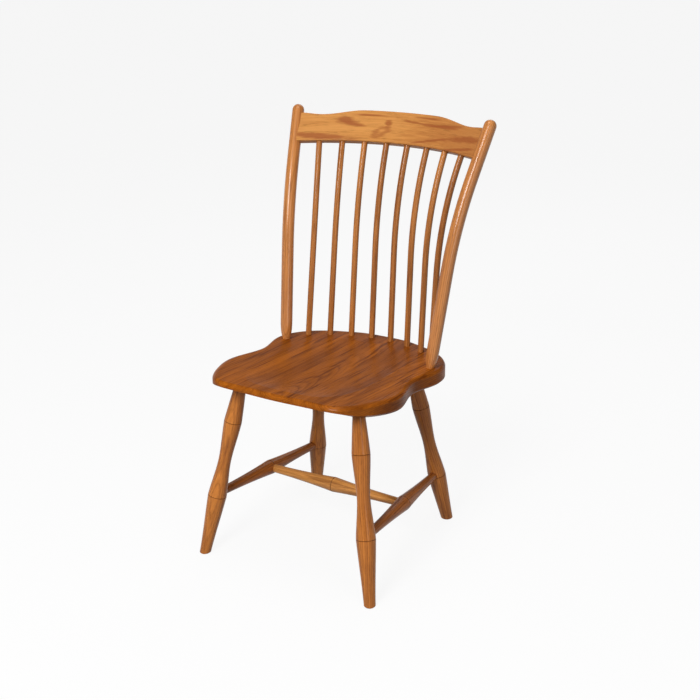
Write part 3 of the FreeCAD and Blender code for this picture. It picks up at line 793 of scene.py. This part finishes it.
class CHAIR_OT_set_stage(Operator):
    """Set the floor, the lamps and the camera round the chair"""

    bl_idname = "chair.set_stage"
    bl_label = "Set Stage"

    def execute(self, context):
        scene, studio = context.scene, context.scene.chair_studio
        scene.view_settings.view_transform = "Standard"

        mesh = bpy.data.meshes.new("floor")
        plane = bmesh.new()
        bmesh.ops.create_grid(plane, x_segments=2, y_segments=2, size=studio.floor_size / 2)
        plane.to_mesh(mesh)
        plane.free()
        mesh.materials.append(floor_material(studio.bounce))
        floor = bpy.data.objects.new("floor", mesh)
        context.collection.objects.link(floor)

        light_surround(scene, studio.surround)
        for name, (place, size) in LAMPS.items():
            add_lamp(name, place, size, getattr(studio, name + "_power"))

        turn, rise, roll = studio.turn, studio.height_angle, studio.roll
        back = Vector((math.sin(turn) * math.cos(rise), -math.cos(turn) * math.cos(rise), math.sin(rise)))
        right = Vector((math.cos(turn), math.sin(turn), 0))
        turned = Matrix((right, back.cross(right), back)).transposed() @ Matrix.Rotation(roll, 3, "Z")
        camera = bpy.data.objects.new("camera", bpy.data.cameras.new("camera"))
        camera.data.sensor_width = SENSOR_WIDTH
        camera.data.lens = studio.lens
        place = Matrix.Translation(Vector(studio.target) + back * studio.distance)
        camera.matrix_world = place @ turned.to_4x4()
        context.collection.objects.link(camera)
        scene.camera = camera
        return {"FINISHED"}


class CHAIR_PT_chair(Panel):
    """Lists the chair's sizes, and the steps that finish it with their settings"""

    bl_idname = "CHAIR_PT_chair"
    bl_label = "Spindle-Back Chair"
    bl_space_type = "VIEW_3D"
    bl_region_type = "UI"
    bl_category = "Chair"

    def draw(self, context):
        self.list_settings(self.layout.box(), context.scene.chair_sizes)
        for operator, settings in STEPS.items():
            box = self.layout.box()
            box.operator(operator)
            for name in settings:
                self.list_settings(box, getattr(context.scene, name))

    def list_settings(self, box, group):
        for prop in group.bl_rna.properties:
            if not prop.is_readonly and prop.identifier != "name":
                box.prop(group, prop.identifier)


STEPS = {
    "chair.finish_seat": ["chair_seat"],
    "chair.finish_legs": ["chair_legs"],
    "chair.finish_stretchers": ["chair_side_stretchers", "chair_cross_stretcher"],
    "chair.finish_posts": ["chair_posts"],
    "chair.finish_spindles": ["chair_spindles"],
    "chair.finish_rail": ["chair_rail"],
    "chair.set_stage": ["chair_studio"],
}
SETTINGS = {
    "chair_sizes": ChairSizes,
    "chair_seat": SeatFinishAndPaintedShade,
    "chair_legs": LegFinish,
    "chair_side_stretchers": SideStretcherFinish,
    "chair_cross_stretcher": CrossStretcherFinishAndPaintedLight,
    "chair_posts": PostFinishAndPaintedHighlight,
    "chair_spindles": SpindleFinish,
    "chair_rail": RailFinish,
    "chair_studio": StudioSettings,
}
CLASSES = [
    *SETTINGS.values(),
    CHAIR_OT_finish_seat, CHAIR_OT_finish_legs, CHAIR_OT_finish_stretchers, CHAIR_OT_finish_posts,
    CHAIR_OT_finish_spindles, CHAIR_OT_finish_rail, CHAIR_OT_set_stage,
    CHAIR_PT_chair,
]


def register():
    for cls in CLASSES:
        bpy.utils.register_class(cls)
    for name, cls in SETTINGS.items():
        setattr(bpy.types.Scene, name, PointerProperty(type=cls))


def unregister():
    for name in SETTINGS:
        delattr(bpy.types.Scene, name)
    for cls in reversed(CLASSES):
        bpy.utils.unregister_class(cls)


def main():
    register()
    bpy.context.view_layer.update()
    bpy.ops.chair.finish_seat()
    bpy.ops.chair.finish_legs()
    bpy.ops.chair.finish_stretchers()
    bpy.ops.chair.finish_posts()
    bpy.ops.chair.finish_spindles()
    bpy.ops.chair.finish_rail()
    bpy.ops.chair.set_stage()


if __name__ == "__main__":
    main()
